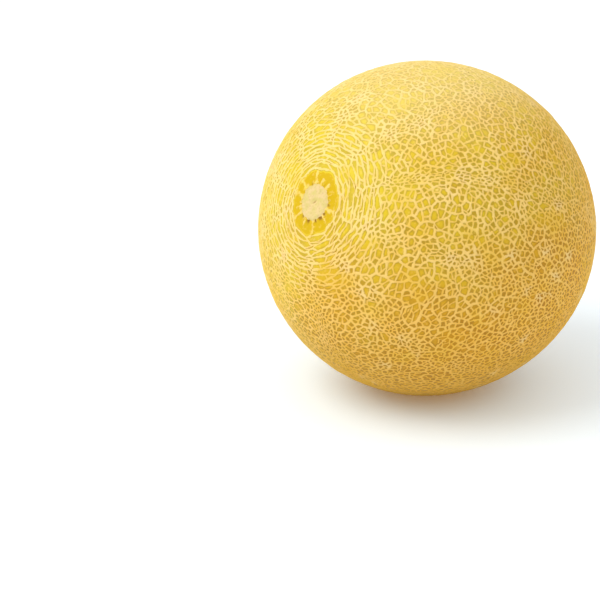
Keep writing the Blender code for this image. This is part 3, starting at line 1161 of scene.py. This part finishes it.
def bake_map():
    """Six squares, three across and two up, each holding the part of the ball that faces one way."""
    way = all_ways[numbers_of(mesh.loops, "vertex_index")]
    face_way = np.add.reduceat(way, numbers_of(mesh.polygons, "loop_start"), axis=0)
    side = np.abs(face_way).argmax(axis=1)
    positive = face_way[np.arange(len(side)), side] > 0
    total = numbers_of(mesh.polygons, "loop_total")
    side, positive = np.repeat(side, total), np.repeat(positive, total)
    rows = np.arange(len(way))
    depth = np.abs(way[rows, side])
    places = np.stack([way[rows, (side + 1) % 3], way[rows, (side + 2) % 3]], 1) / depth[:, None]
    spread = np.arctan(places) / (math.pi / 4)
    squares = (spread * MAP_FILLED + 1) / 2
    squares[:, 0] = (squares[:, 0] + side) / 3
    squares[:, 1] = (squares[:, 1] + positive) / 2
    layer = mesh.uv_layers.new(name="OFBake")
    layer.data.foreach_set("uv", squares.astype(np.float32).ravel())


bake_map()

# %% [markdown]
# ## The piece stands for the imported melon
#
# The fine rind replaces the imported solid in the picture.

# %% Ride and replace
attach(melon, "root")
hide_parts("melon")

# %% [markdown]
# ## Colour and touch
#
# One material covers the fruit, because it is one skin. The masks stored on the mesh say where the
# cork is, so its outline stays as crisp as the ridges, and noise breaks up each colour. Three small
# helpers join nodes, so that each colour below is one line.

# %% Node helpers
material = bpy.data.materials.new("netted rind")
material.use_nodes = True
nodes = material.node_tree.nodes
links = material.node_tree.links
shader = nodes["Principled BSDF"]


def mask(name):
    node = nodes.new("ShaderNodeAttribute")
    node.attribute_name = name
    return node.outputs["Fac"]


def noise(scale, detail=3.0, roughness=0.55):
    node = nodes.new("ShaderNodeTexNoise")
    node.inputs["Scale"].default_value = scale
    node.inputs["Detail"].default_value = detail
    node.inputs["Roughness"].default_value = roughness
    links.new(place.outputs["Object"], node.inputs["Vector"])
    return node.outputs["Fac"]


def ranged(value, low_in, high_in, low_out=0.0, high_out=1.0, curve="SMOOTHSTEP"):
    """Carries a value over from one range to another, in the tree that it comes from."""
    tree = value.id_data
    node = tree.nodes.new("ShaderNodeMapRange")
    node.interpolation_type = curve
    tree.links.new(value, node.inputs["Value"])
    for socket, number in zip(node.inputs[1:5], (low_in, high_in, low_out, high_out)):
        socket.default_value = number
    return node.outputs["Result"]


def blend(share, one, other):
    """Mixes two colours, each a socket or a plain colour."""
    tree = share.id_data
    node = tree.nodes.new("ShaderNodeMix")
    node.data_type = "RGBA"
    tree.links.new(share, node.inputs["Factor"])
    for socket, colour in zip((node.inputs[6], node.inputs[7]), (one, other)):
        if isinstance(colour, tuple):
            socket.default_value = (*colour, 1)
        else:
            tree.links.new(colour, socket)
    return node.outputs[2]


def sums(operation, one, other):
    """One step of arithmetic on a socket and another socket or a number."""
    tree = one.id_data
    node = tree.nodes.new("ShaderNodeMath")
    node.operation = operation
    for socket, value in zip(node.inputs, (one, other)):
        if isinstance(value, (int, float)):
            socket.default_value = value
        else:
            tree.links.new(value, socket)
    return node.outputs[0]


place = nodes.new("ShaderNodeTexCoord")

# %% [markdown]
# ## From lemon to gold
#
# Skin, threads and cords each have a lemon and a golden colour, and ripeness blends the two. Its soft
# random patches are the fruit's own, and slopes of painted shade over them make the fruit lemon high up
# on the stalk's side, towards the lamp, and deeper gold low down and on the right, away from it. Open
# skin is bright and the edge beside the cork olive, partly its own tint and partly painted shade. Young
# cork is yellow, knots are cream. Then the top gets a painted sheen, and painted shade darkens the lower
# part, the cell floors low down more, and the last few millimetres over the floor most.

# %% Rind colours
OPEN_SKIN = (0.76, 0.58, 0.025), (0.64, 0.27, 0.005)  # every pair is lemon and golden
# beside the cork: partly the skin's own olive, partly painted shade at the foot of the ridges
SKIN_EDGE = (0.53, 0.39, 0.035), (0.46, 0.18, 0.006)
THREAD = (0.86, 0.61, 0.12), (0.87, 0.46, 0.06)
CORD = (0.95, 0.72, 0.26), (0.90, 0.51, 0.10)
YOUNG_CORK = (0.87, 0.63, 0.08), (0.84, 0.46, 0.04)
BARE_RING = (0.66, 0.42, 0.001)
# painted shade for the skin in the cells low down
SHADED_CELL_SKIN = (0.36, 0.17, 0.004)
KNOT = (0.93, 0.66, 0.27)
# painted sheen of the bright surround on the top
TOP_SHEEN = (0.92, 0.74, 0.36)
# painted shade for the lower part of the fruit
SHADED = (0.40, 0.24, 0.03)
CONTACT_SHADE = (0.30, 0.18, 0.04)  # painted contact shade on the lowest few millimetres, beside the floor
RIPER_AND_SHADED_ALONG = (  # axis, its two ends in mm, ripeness added at each, which paints shade: deeper gold away from the lamp and low down
    ("X", -73, 73, 0, 0.43), ("Y", -75, 75, 0, 0.38), ("Z", 0, 146, 0.9, 0)
)
SCAR = (0.78, 0.58, 0.27)
SCAR_GREEN = (0.70, 0.56, 0.19)
SCAR_GRAIN = (0.50, 0.33, 0.09)
# dark brown of the torn notches and the scar's core, also used as painted shade in streaks over the bare
# ring
NOTCH_AND_SHADE = (0.30, 0.14, 0.01)

spot = nodes.new("ShaderNodeSeparateXYZ")
links.new(place.outputs["Object"], spot.inputs["Vector"])
ripeness_and_shade = sums("ADD", ranged(noise(16), 0.3, 0.7, 0.4, 0.6), ranged(noise(45), 0.3, 0.7, -0.08, 0.08))
# These slopes paint shade into the colour: deeper gold on the side away from the lamp and low down, over
# the noise's random patches of ripeness.
for axis, start, end, at_start, at_end in RIPER_AND_SHADED_ALONG:
    slope = ranged(spot.outputs[axis], start * MM, end * MM, at_start, at_end, "LINEAR")
    ripeness_and_shade = sums("ADD", ripeness_and_shade, slope)
ripe_and_shaded = ranged(ripeness_and_shade, 0.72, 1.9)
young = ranged(noise(60, 2), 0.5, 0.7, 0, 0.6)
bare_ring = ranged(mask("open"), 1.2, 1.8)
open_skin = blend(bare_ring, blend(ripe_and_shaded, *OPEN_SKIN), BARE_RING)
openness = sums("ADD", mask("open"), ranged(noise(260, 4), 0.3, 0.7, -0.15, 0.15))
openness = sums("ADD", openness, sums("MULTIPLY", young, 0.4))
# Skin beside the cork gets the olive edge colour, partly its own tint and partly painted shade.
skin = blend(ranged(openness, 0.0, 0.8), blend(ripe_and_shaded, *SKIN_EDGE), open_skin)
# Painted shade: the skin in the cells darkens towards the bottom.
skin = blend(ranged(spot.outputs["Z"], 5 * MM, 70 * MM, 0.5, 0), skin, SHADED_CELL_SKIN)
cord = blend(ripe_and_shaded, *CORD)
thread = blend(ripe_and_shaded, *THREAD)
cork = blend(ranged(mask("pale"), 0.05, 0.75), thread, cord)
cork = blend(ranged(noise(420, 2), 0.42, 0.66, 0, 0.5), cork, cord)
cork = blend(young, cork, blend(ripe_and_shaded, *YOUNG_CORK))
cork = blend(ranged(mask("pale"), 0.8, 1.25, 0, 0.8), cork, KNOT)
cork = blend(ranged(noise(700, 4), 0.52, 0.8, 0, 0.35), cork, thread)
net_share = ranged(sums("ADD", mask("net"), ranged(noise(600, 2), 0.3, 0.7, -0.2, 0.2)), 0.05, 0.45)
colour = blend(net_share, skin, cork)
# Painted sheen: the top of the fruit turns paler.
colour = blend(ranged(spot.outputs["Z"], 120 * MM, 146 * MM, 0, 0.3), colour, TOP_SHEEN)
# Painted shade: darker towards the bottom.
colour = blend(ranged(spot.outputs["Z"], 5 * MM, 60 * MM, 0.42, 0), colour, SHADED)
# Painted contact shade on the last few millimetres over the floor.
colour = blend(ranged(spot.outputs["Z"], 4 * MM, 15 * MM, 0.5, 0), colour, CONTACT_SHADE)
scar = blend(ranged(noise(450, 5), 0.36, 0.64), SCAR, SCAR_GREEN)
scar = blend(ranged(noise(1100, 3), 0.5, 0.75, 0, 0.4), scar, SCAR_GRAIN)
colour = blend(ranged(mask("scar"), 0.4, 0.6), colour, scar)
# The notch mask darkens the torn notches, the slit and pits and the scar's streaks, and lays painted
# shade in streaks over the bare ring.
colour = blend(ranged(mask("notch"), 0.1, 0.9), colour, NOTCH_AND_SHADE)
links.new(colour, shader.inputs["Base Color"])

# %% [markdown]
# ## Satin skin, dull cork
#
# Skin has a satin sheen. Cork is dull, and finely grained under a finger, which is too fine for
# geometry and so is the one thing left to bump.

# %% Rind roughness and grain
dull = sums("MAXIMUM", net_share, mask("scar"))
links.new(ranged(dull, 0, 1, 0.45, 0.85), shader.inputs["Roughness"])
shader.inputs["Specular IOR Level"].default_value = 0.15
grain = sums("MULTIPLY", noise(1500, 4, 0.7), ranged(dull, 0, 1, 0.15, 1.0))
bump = nodes.new("ShaderNodeBump")
bump.inputs["Strength"].default_value = 0.5
bump.inputs["Distance"].default_value = 0.25 * MM
links.new(grain, bump.inputs["Height"])
links.new(bump.outputs["Normal"], shader.inputs["Normal"])
mesh.materials.append(material)

# %% [markdown]
# ## A floor that burns out to white
#
# The fruit lies on a white surface that is lit until it has no detail left, and only the shadow
# shows. A little glow in the floor does that. Close to the fruit the glow is warm, as light that
# comes off the rind is, so the shadow under the belly turns golden brown and not grey.

# %% Floor
FLOOR_HALF = 3.0
FLOOR_WHITE = (0.87, 0.95, 1.0, 1)
WARM_GLOW = (1.0, 0.6, 0.22)
COOL_GLOW = (0.85, 0.95, 1.0)
WARM_TO_COOL = (14 * MM, 50 * MM)  # distances from the middle of the flat spot
GLOW = (30 * MM, 120 * MM, 0.195, 0.132)  # two distances and the strength at both

floor_mesh = bpy.data.meshes.new("floor")
floor_corners = [(x * FLOOR_HALF, y * FLOOR_HALF, 0) for x, y in ((-1, -1), (1, -1), (1, 1), (-1, 1))]
floor_mesh.from_pydata(floor_corners, [], [(0, 1, 2, 3)])
floor = new_object("floor", floor_mesh)
paint = bpy.data.materials.new("pale floor")
paint.use_nodes = True
floor_mesh.materials.append(paint)
floor_nodes = paint.node_tree.nodes
coat = floor_nodes["Principled BSDF"]
coat.inputs["Base Color"].default_value = FLOOR_WHITE
coat.inputs["Roughness"].default_value = 0.6
from_fruit = floor_nodes.new("ShaderNodeVectorMath")
from_fruit.operation = "LENGTH"
floor_place = floor_nodes.new("ShaderNodeTexCoord").outputs["Object"]
paint.node_tree.links.new(floor_place, from_fruit.inputs[0])
distance = from_fruit.outputs["Value"]
glow = blend(ranged(distance, *WARM_TO_COOL), WARM_GLOW, COOL_GLOW)
strength = ranged(distance, *GLOW, "LINEAR")
paint.node_tree.links.new(glow, coat.inputs["Emission Color"])
paint.node_tree.links.new(strength, coat.inputs["Emission Strength"])

# %% [markdown]
# ## Window light
#
# One large soft lamp high on the left rounds the fruit, and its shadow falls to the right. The rest
# of the light comes from all round: it is brightest overhead, and a pale band just over the horizon
# stands for the walls. The standard view keeps the colours as they were mixed.

# %% Lamp
LAMP_AZIMUTH = math.radians(-26)
LAMP_ELEVATION = math.radians(50)
LAMP_AWAY = 4.0
LAMP_SIZE = 2.8
LAMP_POWER = 82

to_lamp = toward(LAMP_AZIMUTH, LAMP_ELEVATION)
lamp = new_object("window", bpy.data.lights.new("window", "AREA"))
lamp.location = fruit_middle + LAMP_AWAY * to_lamp
lamp.rotation_euler = to_lamp.to_track_quat("Z", "Y").to_euler()
lamp.data.size = LAMP_SIZE
lamp.data.energy = LAMP_POWER
lamp.data.color = (1.0, 0.99, 0.97)

# %% Surround
OVERHEAD = (0, 1, 0.34, 1.08)  # two heights, 0 at the horizon and 1 overhead, and the light at both
WALLS = (0.12, 0.3, 0.42, 0)

world = bpy.data.worlds.new("surround")
world.use_nodes = True
sky_nodes = world.node_tree.nodes
split = sky_nodes.new("ShaderNodeSeparateXYZ")
sky_place = sky_nodes.new("ShaderNodeTexCoord").outputs["Generated"]
world.node_tree.links.new(sky_place, split.inputs["Vector"])
height = split.outputs["Z"]
brightness = sums("ADD", ranged(height, *OVERHEAD, "LINEAR"), ranged(height, *WALLS, "LINEAR"))
world.node_tree.links.new(brightness, sky_nodes["Background"].inputs["Strength"])
sky_nodes["Background"].inputs["Color"].default_value = (1, 1, 1, 1)
bpy.context.scene.world = world
bpy.context.scene.view_settings.view_transform = "Standard"
